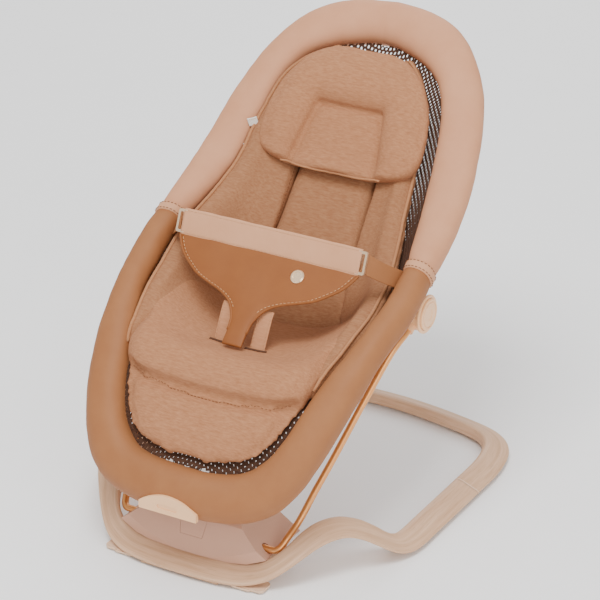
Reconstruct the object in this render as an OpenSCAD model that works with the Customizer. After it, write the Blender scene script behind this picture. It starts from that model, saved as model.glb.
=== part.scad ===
// Baby bouncer seat: a padded bucket seat on a sprung wire frame over a bent-wood floor bow.
// Millimetres, +Z up, +Y towards the head end, +X to the sitter's left.
// Origin: on the floor under the middle of the whole object.

/* [Overall] */
// Width over the padded seat rim
seat_width = 422; // [360:2:460]
// Length of the seat measured along its curved side
seat_length = 780; // [640:5:800]
// Width over the outside of the floor bow
base_width = 492; // [430:2:560]
// Length of the straight floor rails, added or taken at the rear
rail_length = 215; // [150:5:260]

/* [Floor bow] */
// Width of the bow section
bow_width = 38; // [32:1:44]
// Height of the bow section at its inner ridge
bow_height = 16.4; // [13:0.2:20]
// Rise of the bow between the front foot and the side rail
bow_rise = 52; // [30:1:60]
// Diameter of the dowels inside the rail joints
spigot_diameter = 8; // [6:0.5:9]
// Thickness of the rubber floor pads
pad_thickness = 2.6; // [2:0.2:4]

/* [Wire frame] */
// Diameter of the spring wire
wire_diameter = 9; // [7:0.5:10]
// Height of the wire's turning axis above the floor
axis_height = 42; // [40:0.5:46]

/* [Front hub] */
// Wall of the hub cover
hub_wall = 3; // [2.4:0.2:4]
// Width of the fold button at its top edge
fold_button_width = 41; // [30:1:46]
// Travel of the fold button
fold_button_travel = 3; // [2:0.5:3]

/* [Recline hubs] */
// Diameter of each side hub
hub_diameter = 52; // [46:1:60]
// Diameter of each recline button
recline_button_diameter = 43; // [36:1:44]
// Travel of each recline button
recline_travel = 4; // [3:0.5:4]
// Diameter of the seat's pivot pins
pin_diameter = 12; // [9:0.5:16]
// Running clearance on the radius of every turning part
running_gap = 0.05; // [0.02:0.01:0.1]

/* [Seat] */
// Diameter of the tube hoop inside the rim
hoop_diameter = 16; // [12:1:20]
// Half depth of the padded rim at the side
rim_half_depth = 22; // [18:0.5:24]
// Thickness of the mesh sling
sling_thickness = 2; // [1.6:0.2:3]
// Thickness of the inlay padding
inlay_thickness = 22; // [16:1:26]
// Thickness of the pillow's raised border
pillow_height = 25; // [18:1:30]
// Thickness of the pillow's sunken middle
pillow_middle = 15; // [10:1:17]

/* [Belt] */
// Width of the belt panel's top edge
belt_width = 268; // [230:2:280]
// Thickness of the belt panel
belt_thickness = 4; // [3:0.5:6]
// Width of each crotch strap
strap_width = 22; // [16:1:24]

/* [Hidden] */
$fn = 48;
kx = seat_width / 422;
kl = seat_length / 780;
hub_y = 2;
hub_z = 303;
lean = 26.6;
drop = 41.3;
anchor = [hub_y - drop * sin(lean), hub_z + drop * cos(lean)];
axis_y = -234;
axis_z = axis_height;
rim_x = 190.5 * kx;
hub_x = rim_x - 1;
hub_r = hub_diameter / 2;
wire_r = wire_diameter / 2;
pin_r = pin_diameter / 2;
base_dx = (base_width - 492) / 2;
rail_dy = rail_length - 215;
joint_y = 87;
ridge = bow_height - 16.4;

// Rim stations from the middle of the foot end to the middle of the head end:
// outer point, inner point, half depth, sling middle line.
rim = [
  [[0, -297, 97], [0, -262, 148], 27, [-262, 148]],
  [[50, -295, 97], [42, -261, 149], 27, [-258, 152]],
  [[98, -284, 103], [78, -252, 154], 27, [-248, 163]],
  [[134, -268, 120], [103, -238, 170], 27, [-236, 180]],
  [[158, -245, 148], [119, -221, 194], 26, [-222, 200]],
  [[174, -221, 183], [130, -199, 219], 25, [-208, 218]],
  [[185, -196, 215], [138, -174, 242], 24, [-190, 231]],
  [[194, -164, 251], [147, -152, 260], 23, [-165, 236]],
  [[200, -130, 282], [158, -122, 278], 22, [-135, 234]],
  [[206, -95, 303], [166, -93, 298], 22, [-100, 229]],
  [[210, -62, 319], [170, -61, 314], 22, [-62, 223]],
  [[211, -27, 335], [171, -26, 335], 22, [-22, 222]],
  [[209, 9, 352], [169, 9, 354], 22, [12, 232]],
  [[208, 44, 371], [161, 44, 371], 21.5, [42, 262]],
  [[206, 80, 391], [152, 80, 390], 21, [68, 298]],
  [[203, 112, 412], [144, 111, 411], 20, [92, 330]],
  [[198, 143, 437], [139, 139, 438], 20, [116, 362]],
  [[191, 170, 463], [133, 163, 466], 20, [140, 394]],
  [[183, 196, 487], [127, 182, 490], 20, [164, 425]],
  [[172, 220, 511], [119, 199, 511], 20.5, [187, 455]],
  [[158, 241, 532], [109, 212, 526], 21, [206, 480]],
  [[140, 260, 553], [97, 222, 536], 21.5, [222, 500]],
  [[118, 276, 571], [82, 232, 542], 22, [235, 516]],
  [[92, 289, 584], [64, 242, 546], 22.5, [246, 530]],
  [[62, 298, 592], [43, 252, 549], 23, [254, 540]],
  [[31, 303, 596], [21, 260, 551], 23, [260, 547]],
  [[0, 305, 598], [0, 263, 552], 23, [263, 551]]
];
top = len(rim) - 1;
seam = 12;

// Half of the floor bow: outer lower edge from front middle to rear middle.
bow = [
  [0, -293, 5], [30, -292, 5], [58, -289.5, 5], [83, -285, 5.5], [105, -277.5, 9],
  [124, -267, 16], [140, -253, 27], [155, -236, 40], [168, -219, 51], [180, -202, 57],
  [192, -184, 57], [204, -166, 49], [216, -149, 36], [227, -132, 22], [236, -114, 11],
  [243, -94, 6], [246, -70, 5], [246, -40, 5], [246, -10, 5], [246, 25, 5],
  [246, 55, 5], [246, 87, 5], [246, 105, 5], [246, 122, 5], [245.5, 142, 5],
  [243.5, 164, 5], [239, 188, 5], [231, 212, 5], [217, 234, 5], [197, 251, 5],
  [172, 262, 5], [140, 270, 5], [105, 277, 5], [70, 282.5, 5], [35, 286, 5], [0, 287, 5]
];
joint_station = 21;

// ---- curve and surface helpers ----
function spline(a, b, c, d, t) =
  0.5 * (2 * b + (c - a) * t + (2 * a - 5 * b + 4 * c - d) * t * t
  + (3 * b - a - 3 * c + d) * t * t * t);
function along(list, s) =
  let (m = len(list) - 1, i = min(max(floor(s), 0), m - 1))
  spline(list[max(i - 1, 0)], list[i], list[i + 1], list[min(i + 2, m)], s - i);
function unit(v) = v / max(norm(v), 1e-9);
function flipped(list) = [for (i = [len(list) - 1 : -1 : 0]) list[i]];
function mirrored(p) = [-p[0], p[1], p[2]];
function lay(p) =
  [p[0] * kx, anchor[0] + (p[1] - anchor[0]) * kl, anchor[1] + (p[2] - anchor[1]) * kl];
function ease(a, b, v) = let (t = min(max((v - a) / (b - a), 0), 1)) t * t * (3 - 2 * t);
outer_pts = [for (r = rim) r[0]];
inner_pts = [for (r = rim) r[1]];
depths = [for (r = rim) r[2]];
middle_pts = [for (r = rim) [0, r[3][0], r[3][1]]];
function rim_outer(s) = along(outer_pts, s);
function rim_inner(s) = along(inner_pts, s);
function rim_mid(s) = (rim_outer(s) + rim_inner(s)) / 2;

// Faces of a sweep of n rings with m points each, closed by caps.
function tube_sides(n, m, o = 0) = [
  for (i = [0 : n - 2], j = [0 : m - 1])
    let (a = o + i * m + j, b = o + i * m + (j + 1) % m, c = b + m, d = a + m)
    each [[a, c, b], [a, d, c]]
];
function caps(n, m) = [
  [for (j = [0 : m - 1]) j],
  [for (j = [m - 1 : -1 : 0]) (n - 1) * m + j]
];
module sweep(rings) {
  n = len(rings);
  m = len(rings[0]);
  polyhedron([for (r = rings) each r], concat(tube_sides(n, m), caps(n, m)));
}
// Sweep with a hollow section: outer and inner rings with the same number of points.
module hollow_sweep(outer, inner) {
  n = len(outer);
  m = len(outer[0]);
  k = n * m;
  inner_faces = [for (f = tube_sides(n, m, k)) [f[2], f[1], f[0]]];
  start = [for (j = [0 : m - 1]) let (b = (j + 1) % m) each [[j, k + b, k + j], [j, b, k + b]]];
  e = (n - 1) * m;
  finish = [for (j = [0 : m - 1]) let (b = (j + 1) % m)
    each [[e + j, k + e + b, e + b], [e + j, k + e + j, k + e + b]]];
  polyhedron(concat([for (r = outer) each r], [for (r = inner) each r]),
    concat(tube_sides(n, m), inner_faces, start, finish));
}
// Round tube along a list of points.
function ring_at(pts, i, r, m) =
  let (
    n = len(pts),
    t = unit(pts[min(i + 1, n - 1)] - pts[max(i - 1, 0)]),
    side = unit(cross(abs(t[2]) > 0.95 ? [0, 1, 0] : [0, 0, 1], t)),
    up = cross(t, side)
  )
  [for (j = [0 : m - 1]) pts[i] + r * (cos(360 * j / m) * side + sin(360 * j / m) * up)];
module rod(pts, r, m) {
  sweep([for (i = [0 : len(pts) - 1]) ring_at(pts, i, r, m)]);
}
// Closed slab from a grid of top points over a grid of under points.
module slab(tops, unders) {
  n = len(tops);
  m = len(tops[0]);
  k = n * m;
  quads = [for (i = [0 : n - 2], j = [0 : m - 2])
    [i * m + j, i * m + j + 1, (i + 1) * m + j + 1, (i + 1) * m + j]];
  upper = [for (q = quads) each [[q[0], q[2], q[1]], [q[0], q[3], q[2]]]];
  lower = [for (f = upper) [f[2] + k, f[1] + k, f[0] + k]];
  edge = concat(
    [for (j = [0 : m - 2]) [j, j + 1]],
    [for (i = [0 : n - 2]) [i * m + m - 1, (i + 1) * m + m - 1]],
    [for (j = [m - 1 : -1 : 1]) [(n - 1) * m + j, (n - 1) * m + j - 1]],
    [for (i = [n - 1 : -1 : 1]) [i * m, (i - 1) * m]]
  );
  sides = [for (e = edge) each [[e[0], e[1], e[0] + k], [e[1], e[1] + k, e[0] + k]]];
  polyhedron(concat([for (r = tops) each r], [for (r = unders) each r]), concat(upper, lower, sides));
}

// ---- floor bow ----
bow_profile = [
  [0, 2.6], [1.2, 0.7], [3, 0], [0.92, 0], [0.985, 1], [1, 3.4], [0.99, 11], [0.95, 14.4],
  [0.87, 16.2], [0.79, 16.4], [0.68, 15.2], [4, 6.2], [1.1, 4.8]
];
function bow_point(s) =
  let (p = along(bow, s), far = p[1] > joint_y ? min((p[1] - joint_y) / 60, 1) : 0)
  [p[0] + base_dx * min(p[0] / 120, 1), p[1] + rail_dy * far, p[2] > 5 ? 5 + (p[2] - 5) * bow_rise / 52 : 5];
// The bow is slimmer beside the wire ends so that they clear it.
function bow_waist(s) = 1 - 0.33 * exp(-pow((s - 6.2) / 1.7, 2));
function bow_ring(s) =
  let (
    a = bow_point(max(s - 0.25, 0)), b = bow_point(min(s + 0.25, len(bow) - 1)),
    t = s <= 0 || s >= len(bow) - 1 ? unit([b[0] - a[0], 0, 0]) : unit(b - a),
    side = unit(cross([0, 0, 1], t)), up = cross(t, side), p = bow_point(s), slim = bow_waist(s)
  )
  [for (q = bow_profile)
    let (u = q[0] <= 1 && q[0] > 0.5 ? q[0] * bow_width : q[0], v = q[1] > 9 ? q[1] + ridge : q[1])
    p + side * u * slim + up * v];
function bow_rings(a, b, step) =
  [for (k = [0 : round((b - a) / step)]) bow_ring(a + k * step)];
function mirror_rings(rings) = [for (r = flipped(rings)) [for (p = r) mirrored(p)]];

module base_front_bow() {
  half = bow_rings(0, joint_station - 0.02, (joint_station - 0.02) / 32);
  color("BurlyWood") difference() {
    sweep(concat(mirror_rings(half), [for (i = [1 : len(half) - 1]) half[i]]));
    spigot_rods(spigot_diameter / 2);
  }
}
module base_rear_bow() {
  last = len(bow) - 1;
  half = bow_rings(joint_station + 0.07, last, (last - joint_station - 0.07) / 22);
  color("BurlyWood") difference() {
    sweep(concat(half, [for (r = mirror_rings(half)) r]));
    spigot_rods(spigot_diameter / 2);
  }
}
module spigot_rods(r) {
  for (k = [-1, 1])
    translate([k * (246 + base_dx - bow_width * 0.62), joint_y + 22, 5 + 6.4]) rotate([90, 0, 0])
      cylinder(r = r, h = 44);
}
module rail_spigots() {
  color("Silver") spigot_rods(spigot_diameter / 2);
}
// Thin pale ring that shows between the two halves of each rail.
module joint_ring(k) {
  w = bow_width;
  x = 246 + base_dx;
  color("Linen") difference() {
    translate([0, joint_y + 1.6, 0]) rotate([90, 0, 0]) linear_extrude(height = 2)
      polygon([for (q = bow_profile)
        let (u = q[0] <= 1 && q[0] > 0.5 ? q[0] * w : q[0], v = q[1] > 9 ? q[1] + ridge : q[1])
        [k * (x - u), 5 + v]]);
    spigot_rods(spigot_diameter / 2);
  }
}
module joint_ring_left() { joint_ring(-1); }
module joint_ring_right() { joint_ring(1); }

// Front foot: a stepped plastic block under each front corner of the bow.
module front_foot(k) {
  x = 101 + base_dx * 0.8;
  color("Linen") difference() {
    union() {
      translate([k * x, -266, pad_thickness]) linear_extrude(height = 5.85 - pad_thickness)
        rounded(38, 26, 6);
      translate([k * (x - 12), -274, pad_thickness]) linear_extrude(height = 5 - pad_thickness)
        rounded(30, 16, 4);
    }
    translate([k * (x + 4), -264, 0]) cylinder(r = 2.2, h = 6);
  }
}
module rounded(w, d, r) {
  union() {
    square([w - 2 * r, d], center = true);
    square([w, d - 2 * r], center = true);
    for (i = [-1, 1], j = [-1, 1]) translate([i * (w / 2 - r), j * (d / 2 - r)]) circle(r = r);
  }
}
module front_foot_left() { front_foot(-1); }
module front_foot_right() { front_foot(1); }
module front_pads() {
  x = 101 + base_dx * 0.8;
  color("DimGray") for (k = [-1, 1]) translate([k * (x + 4), -264, 0]) union() {
    linear_extrude(height = pad_thickness) rounded(26, 18, 5);
    cylinder(r = 2.2, h = 5.5);
  }
}
module rear_pads() {
  color("DimGray") for (k = [-1, 1]) translate([k * 52, 270 + rail_dy, 0])
    rotate([0, 0, -5 * k]) linear_extrude(height = 5) rounded(52, 15, 5);
}

// ---- front hub ----
// Block under the cover; g moves every face outwards, open takes the bottom further down.
module hub_block(g, open = false) {
  foot = open ? [[112, 8], [-112, 8]]
    : [[110, 35], [84, 24.5], [60, 21.6], [-60, 21.6], [-84, 24.5], [-110, 35]];
  low = open ? 8 : 21.6;
  intersection() {
    translate([0, -150, 0]) rotate([90, 0, 0]) linear_extrude(height = 130)
      polygon(concat([[-110 - g, 36], [-76 - g, 64], [-66 - g * 0.6, 75 + g], [-54, 79 + g],
        [54, 79 + g], [66 + g * 0.6, 75 + g], [76 + g, 64], [110 + g, 36]], foot));
    translate([-130, 0, 0]) rotate([90, 0, 90]) linear_extrude(height = 260)
      polygon([[-263 - g, low], [-261 - g, 28], [-253 - g, 50], [-246 - g, 68],
        [-238 - g * 0.7, 76 + g * 0.7], [-226, 79 + g], [-198, 79 + g], [-180 + g * 0.7, 74 + g * 0.7],
        [-168 + g, 60], [-160 + g, low]]);
    translate([0, 277, 0]) cylinder(r = 540 + g, h = 120, $fn = 180);
  }
}
module button_window(gap) {
  w = fold_button_width / 2 + gap;
  translate([0, -230, 0]) rotate([90, 0, 0]) linear_extrude(height = 60)
    polygon([[-w + 4, 43 - gap], [w - 4, 43 - gap], [w, 70 + gap], [-w, 70 + gap]]);
}
boss_spots = [[-50, -186], [50, -186], [-84, -206], [84, -206]];
module hub_cover() {
  color("PeachPuff") difference() {
    union() {
      difference() {
        hub_block(0);
        hub_block(-hub_wall, true);
      }
      intersection() {
        hub_block(-0.5);
        union() {
          for (s = boss_spots) translate([s[0], s[1], 22.2]) cylinder(r = 5, h = 60);
          translate([-13, -232, 57]) cube([26, 3, 21]);
        }
      }
    }
    button_window(0.4);
    for (s = boss_spots) translate([s[0], s[1], 20]) cylinder(r = 1.7, h = 18);
    translate([-130, axis_y, axis_z]) rotate([0, 90, 0]) cylinder(r = wire_r + 1.6, h = 260);
  }
}
module hub_base() {
  color("Tan") difference() {
    union() {
      intersection() {
        translate([-94, -255, 7]) cube([188, 85, 14.4]);
        translate([0, 77.5, 0]) cylinder(r = 331, h = 40, $fn = 180);
      }
      translate([-58, -287, 2.4]) cube([116, 116, 2.5]);
      translate([-58, -248, 4]) cube([116, 76, 4]);
      for (k = [-1, 1]) translate([k * 68 - 5, axis_y - 13, 20]) cube([10, 26, axis_z - 20]);
      for (k = [-1, 1]) translate([k * 68 - 5, axis_y, axis_z]) rotate([0, 90, 0]) cylinder(r = 13, h = 10);
    }
    translate([-130, axis_y, axis_z]) rotate([0, 90, 0]) cylinder(r = 10.5, h = 260);
    for (s = boss_spots) translate([s[0], s[1], 0]) cylinder(r = 2.2, h = 30);
    for (s = boss_spots) translate([s[0], s[1], 0]) cylinder(r = 4.2, h = 11);
  }
}
module hub_screws() {
  color("Gray") for (s = boss_spots) translate([s[0], s[1], 0]) difference() {
    union() {
      translate([0, 0, 8]) cylinder(r = 3.8, h = 3);
      translate([0, 0, 10]) cylinder(r = 1.7, h = 24);
    }
    translate([0, 0, 7.5]) cylinder(r = 1.6, h = 1.8, $fn = 6);
  }
}
module axle_bushes() {
  color("WhiteSmoke") for (k = [-1, 1])
    translate([k * 68 - 5, axis_y, axis_z]) rotate([0, 90, 0]) difference() {
      cylinder(r = 10.5, h = 10);
      translate([0, 0, -1]) cylinder(r = 8 + running_gap, h = 12);
    }
}
// Latch drum: carries the wire and turns in the bushes when the frame folds.
module fold_drum() {
  color("SlateGray") difference() {
    union() {
      translate([-76, axis_y, axis_z]) rotate([0, 90, 0]) cylinder(r = 8, h = 152);
      for (k = [-1, 1]) translate([k * 34 - 4, axis_y, axis_z - 5]) cube([8, 17, 9]);
    }
    translate([-90, axis_y, axis_z]) rotate([0, 90, 0]) cylinder(r = wire_r + running_gap, h = 180);
  }
}
module fold_button() {
  color("PeachPuff") union() {
    intersection() {
      difference() {
        hub_block(0);
        hub_block(-3.6);
      }
      button_window(0);
    }
    translate([0, -246.5, 63]) rotate([90, 0, 0]) cylinder(r = 2.6, h = 4);
  }
}
// Coil points about the Z axis.
function coil(r, length, turns, m) =
  [for (i = [0 : turns * m]) [r * cos(360 * i / m), r * sin(360 * i / m), length * i / (turns * m)]];
module fold_spring() {
  color("Silver") translate([0, -232.4, 63]) rotate([90, 0, 0]) rod(coil(4, 10, 4, 10), 0.5, 6);
}

// ---- sprung wire frame ----
// Arm points: x, then y and z measured from the fold axis.
arm = [
  [100, 0, 0], [108, 0, 0], [114, 1, 0.5], [119, 6, 4], [123, 17, 14], [128, 40, 31], [137, 63, 64],
  [148, 89, 100.5], [165, 130, 160], [181, 170, 215], [187, 188, 233], [190.5, 201, 241.5],
  [191.5, 210, 246.5], [191.5, 217, 250.5]
];
function arm_point(p) =
  let (f = min(max((p[0] - 119) / 72.5, 0), 1), g = p[2] / 250.5)
  [p[0] + f * (rim_x - 190.5), axis_y + p[1], axis_z + p[2] + g * (42 - axis_z)];
arm_bent = [for (p = arm) arm_point(p)];
arm_path = [for (k = [0 : 36]) along(arm_bent, k * (len(arm) - 1) / 36)];
module wire_frame() {
  color("Peru") union() {
    translate([-102, axis_y, axis_z]) rotate([0, 90, 0]) cylinder(r = wire_r, h = 204);
    rod(arm_path, wire_r + 0.2, 12);
    rod([for (p = flipped(arm_path)) mirrored(p)], wire_r + 0.2, 12);
  }
}

// ---- recline hubs ----
module along_x(k, x) {
  translate([k * x, hub_y, hub_z]) rotate([0, 90 * k, 0]) children();
}
module side_hub(k) {
  color("OldLace") difference() {
    union() {
      along_x(k, hub_x) cylinder(r = hub_r - 2.5, h = 12);
      along_x(k, hub_x + 12) cylinder(r1 = hub_r - 2.5, r2 = hub_r, h = 1.5);
      along_x(k, hub_x + 13.5) cylinder(r = hub_r, h = 2);
      along_x(k, hub_x + 15.5) cylinder(r1 = hub_r, r2 = hub_r - 1, h = 1);
      translate([k * (hub_x + 2), hub_y, hub_z]) rotate([120.5, 0, 0])
        translate([0, 0, hub_r - 5]) cylinder(r = 7, h = 11);
    }
    along_x(k, hub_x - 1) cylinder(r = pin_r + running_gap, h = 12);
    along_x(k, hub_x + 7.5) cylinder(r = recline_button_diameter / 2 + 0.4, h = 20);
    along_x(k, hub_x - 8) cylinder(r = 14, h = 8.4);
  }
}
module side_hub_left() { side_hub(-1); }
module side_hub_right() { side_hub(1); }
module recline_button(k) {
  r = recline_button_diameter / 2;
  base = hub_x + 7.9 + recline_travel;
  color("OldLace") difference() {
    union() {
      along_x(k, base) cylinder(r = r, h = 6.6);
      along_x(k, base + 6.6) cylinder(r1 = r, r2 = r - 1.2, h = 1);
    }
    along_x(k, base + 7.6) rotate_extrude() translate([r - 4.5, 0]) circle(r = 0.9);
    along_x(k, base + 7) cylinder(r1 = 7, r2 = 8, h = 1.5);
    along_x(k, hub_x) cylinder(r = 10.5, h = 11.9 + recline_travel);
  }
}
module recline_button_left() { recline_button(-1); }
module recline_button_right() { recline_button(1); }
module recline_spring(k) {
  color("Silver") along_x(k, hub_x + 8.1) rod(coil(8.6, 3.1 + recline_travel, 3, 12), 0.6, 6);
}
module recline_spring_left() { recline_spring(-1); }
module recline_spring_right() { recline_spring(1); }
module pivot_pin(k) {
  color("Silver") union() {
    along_x(k, hub_x - 11) cylinder(r = pin_r, h = 18);
    along_x(k, hub_x - 11) cylinder(r = pin_r + 3, h = 4);
  }
}
module pivot_pin_left() { pivot_pin(-1); }
module pivot_pin_right() { pivot_pin(1); }
// Plate that hangs from the hoop and carries the pivot pin.
module bracket_arm(k, gap, start) {
  translate([k * (hub_x - 4), hub_y, hub_z]) rotate([lean, 0, 0])
    translate([-3 - gap, -11 - gap, start]) cube([6 + 2 * gap, 22 + 2 * gap, drop - 4 - start + gap]);
}
module seat_bracket_right() {
  color("Silver") difference() {
    union() {
      along_x(1, hub_x - 7) cylinder(r = 13.5, h = 6);
      bracket_arm(1, 0, 0);
    }
    along_x(1, hub_x - 8) cylinder(r = pin_r, h = 10);
    translate([rim_x, anchor[0], anchor[1]]) rotate([lean + 90, 0, 0])
      cylinder(r = hoop_diameter / 2, h = 60, center = true);
  }
}
module seat_bracket_left() { mirror([1, 0, 0]) seat_bracket_right(); }

// ---- padded rim and its tube hoop ----
// The underside of the rim is flatter above the hubs.
function under(s) = 1 - 0.23 * (1 - ease(2.5, 5, abs(s - 11)));
function rim_step(s) =
  s <= 0 ? rim_mid(0.2) - mirrored(rim_mid(0.2))
    : s >= top ? mirrored(rim_mid(top - 0.2)) - rim_mid(top - 0.2)
    : rim_mid(s + 0.2) - rim_mid(s - 0.2);
function rim_ring(s, grow, m, round_r) =
  let (
    o = lay(rim_outer(s)), i = lay(rim_inner(s)), mid = (o + i) / 2, ra = unit(o - i), e = rim_step(s),
    t = unit([e[0] * kx, e[1] * kl, e[2] * kl]), nn = unit(cross(t, ra)),
    a = norm(o - i) / 2 + grow, b = along(depths, s) * rim_half_depth / 22
  )
  [for (j = [0 : m - 1])
    let (c = cos(360 * j / m), d = sin(360 * j / m), h = (d > 0 ? b * under(s) : b) + grow)
    round_r > 0 ? mid + round_r * (c * ra + d * nn)
      : mid + a * sign(c) * pow(abs(c), 0.86) * ra + h * sign(d) * pow(abs(d), 0.86) * nn];
function rim_half(a, b, n, grow, m, rr) = [for (k = [0 : n]) rim_ring(a + (b - a) * k / n, grow, m, rr)];
function foot_rings(n, grow, m, rr) =
  let (h = rim_half(0, seam, n, grow, m, rr))
  concat(mirror_rings(h), [for (i = [1 : n]) h[i]]);
function head_rings(n, grow, m, rr) =
  let (h = rim_half(seam, top, n, grow, m, rr))
  concat(h, mirror_rings([for (i = [0 : n - 1]) h[i]]));

module lower_rim() {
  color("Sienna") difference() {
    hollow_sweep(foot_rings(24, 0, 20, 0), foot_rings(24, 0, 20, hoop_diameter / 2 - 0.1));
    for (k = [-1, 1]) bracket_arm(k, 0.3, 9);
  }
}
module upper_rim() {
  color("Tan") hollow_sweep(head_rings(26, 0, 20, 0), head_rings(26, 0, 20, hoop_diameter / 2 - 0.1));
}
module seat_hoop() {
  foot = foot_rings(22, 0, 10, hoop_diameter / 2);
  head = head_rings(26, 0, 10, hoop_diameter / 2);
  all = concat(foot, [for (i = [1 : len(head) - 2]) head[i]]);
  n = len(all);
  m = 10;
  closing = [for (j = [0 : m - 1])
    let (a = (n - 1) * m + j, b = (n - 1) * m + (j + 1) % m, c = (j + 1) % m, d = j)
    each [[a, c, b], [a, d, c]]];
  color("Silver") polyhedron([for (r = all) each r], concat(tube_sides(n, m), closing));
}
// Narrow topstitched band over the join between the two rim covers.
module seam_band(k) {
  h = rim_half(seam - 0.16, seam + 0.16, 2, 0.8, 20, 0);
  g = rim_half(seam - 0.16, seam + 0.16, 2, -1, 20, 0);
  color("Tan") if (k > 0) hollow_sweep(h, g);
  else mirror([1, 0, 0]) hollow_sweep(h, g);
}
module seam_band_left() { seam_band(-1); }
module seam_band_right() { seam_band(1); }

// ---- bucket surface: s runs from foot to head, w from -1 to 1 across, t lifts inwards ----
function middle_up(s) =
  let (d = unit(along(middle_pts, min(s + 0.3, top)) - along(middle_pts, max(s - 0.3, 0)))) [0, -d[2], d[1]];
function bucket(s, w, t) =
  let (
    r = rim_inner(s) + 0.1 * (rim_outer(s) - rim_inner(s)),
    c = along(middle_pts, s) + middle_up(s) * t,
    f = pow(abs(w), 2.6), x = w * max(r[0] - t * 0.2 * f, 0)
  )
  lay([x, c[1] + (r[1] - c[1]) * f, c[2] + (r[2] - c[2]) * f]);
function sheet(s0, s1, n, m, t) =
  [for (i = [0 : n]) let (s = s0 + (s1 - s0) * i / n) [for (j = [0 : m]) bucket(s, 2 * j / m - 1, t)]];

module mesh_sling() {
  color("SaddleBrown")
    slab(sheet(0.55, top - 0.4, 30, 18, sling_thickness), sheet(0.55, top - 0.4, 30, 18, 0));
}

// A padded panel between two side lines, swelling from its edges.
function swell(a) = pow(max(1 - pow(abs(2 * a - 1), 6), 0), 0.5);
function side_at(line, a) = along(line, a * (len(line) - 1));
function puff(s0, s1, n, m, wl, wu, low, high) =
  [for (i = [0 : n]) let (a = i / n, s = s0 + (s1 - s0) * a, x0 = side_at(wl, a), x1 = side_at(wu, a))
    [for (j = [0 : m]) let (b = j / m)
      bucket(s, x0 + (x1 - x0) * b, low + (high - low) * (0.3 + 0.7 * swell(a) * swell(b)))]];
function flat(s0, s1, n, m, wl, wu, low) =
  [for (i = [0 : n]) let (a = i / n, s = s0 + (s1 - s0) * a, x0 = side_at(wl, a), x1 = side_at(wu, a))
    [for (j = [0 : m]) bucket(s, x0 + (x1 - x0) * j / m, low)]];
module pad(s0, s1, n, m, wl, wu, low, high) {
  slab(puff(s0, s1, n, m, wl, wu, low, high), flat(s0, s1, n, m, wl, wu, low));
}
pad_low = sling_thickness + 0.4;
pad_high = pad_low + inlay_thickness;
module inlay_back() {
  edge = [0.40, 0.37, 0.42, 0.48, 0.6];
  color("RosyBrown") pad(11, 25, 20, 8, -edge, edge, pad_low, pad_high);
}
wing_in = [0.87, 0.80, 0.66, 0.46, 0.45, 0.48, 0.50, 0.54, 0.62];
wing_out = [0.94, 0.92, 0.91, 0.91, 0.92, 0.94, 0.94, 0.93, 0.9];
module inlay_wing(k) {
  color("RosyBrown") if (k > 0) pad(6.5, 24, 24, 6, wing_in, wing_out, pad_low, pad_high - 2);
  else mirror([1, 0, 0]) pad(6.5, 24, 24, 6, wing_in, wing_out, pad_low, pad_high - 2);
}
module inlay_wing_left() { inlay_wing(-1); }
module inlay_wing_right() { inlay_wing(1); }
// Cord piping on the outer edge of each wing.
module inlay_piping(k) {
  pts = [for (i = [0 : 26]) let (a = i / 26)
    bucket(6.6 + 17.2 * a, along(wing_out, 8 * a) + 0.005, pad_low + 9)];
  color("Tan") if (k > 0) rod(pts, 2.2, 6);
  else mirror([1, 0, 0]) rod(pts, 2.2, 6);
}
module inlay_piping_left() { inlay_piping(-1); }
module inlay_piping_right() { inlay_piping(1); }
module seat_cushion() {
  edge = [0.2, 0.62, 0.8, 0.88, 0.90, 0.80, 0.72, 0.64, 0.52];
  color("RosyBrown") pad(1.4, 10.5, 26, 12, -edge, edge, pad_low, pad_high + 2);
}
// Pillow with a raised border and a sunken middle that opens at its lower edge.
pillow_line = [[-1, 66], [2, 76], [9, 100], [19, 115], [38, 123], [62, 123.5], [90, 119], [115, 111],
  [138, 98], [158, 81], [172, 60], [179, 34]];
function pillow_at(x, v, h) =
  lay([x, 140 + 0.615 * v - 0.788 * h, 394 + 0.788 * v + 0.615 * h]);
module seat_pillow() {
  n = 26;
  m = 22;
  last = len(pillow_line) - 1;
  rows = [for (i = [0 : n]) along(pillow_line, i * last / n)];
  tops = [for (i = [0 : n]) let (v = rows[i][0], a = v / 179, side = 62 - 0.15 * v)
    [for (j = [0 : m]) let (
      x = rows[i][1] * (2 * j / m - 1), u = abs(2 * j / m - 1),
      dip = (1 - ease(side - 9, side + 5, abs(x))) * (1 - ease(88, 108, v)),
      h = pillow_middle * dip + pillow_height * (1 - dip),
      edge = sqrt(max(1 - pow(u, 7), 0)) * min(1, 0.86 + v / 40) * sqrt(max(1 - pow(max(a, 0), 9), 0))
    ) pillow_at(x, v, 30 + 4 * pow(u, 4) + h * (0.22 + 0.78 * edge))]];
  unders = [for (i = [0 : n]) [for (j = [0 : m]) let (u = 2 * j / m - 1)
    pillow_at(rows[i][1] * u, rows[i][0], 28 + 4 * pow(u, 4))]];
  color("RosyBrown") slab(tops, unders);
}

// ---- belt ----
belt_tilt = 67;
panel_tilt = 44;
band_low = [-54, 363];
belt_half = belt_width / 2;
module belt_band() {
  color("Tan") translate([0, band_low[0], band_low[1]]) rotate([belt_tilt, 0, 0])
    translate([0, 18, 0]) linear_extrude(height = belt_thickness) rounded(belt_width, 36, 3);
}
panel_side = [[1, 0], [0.98, -6], [0.9, -22], [0.78, -36], [0.66, -47], [0.53, -54], [0.38, -61], [0.27, -68],
  [0.19, -77], [0.13, -90], [0.105, -104], [0.105, -132]];
module belt_panel() {
  right = [for (q = panel_side) [q[0] * belt_half, q[1]]];
  color("Sienna") translate([0, band_low[0], band_low[1]]) rotate([panel_tilt, 0, 0])
    linear_extrude(height = belt_thickness - 0.6)
    polygon(concat(right, [for (q = flipped(right)) [-q[0], q[1]]]));
}
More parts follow.
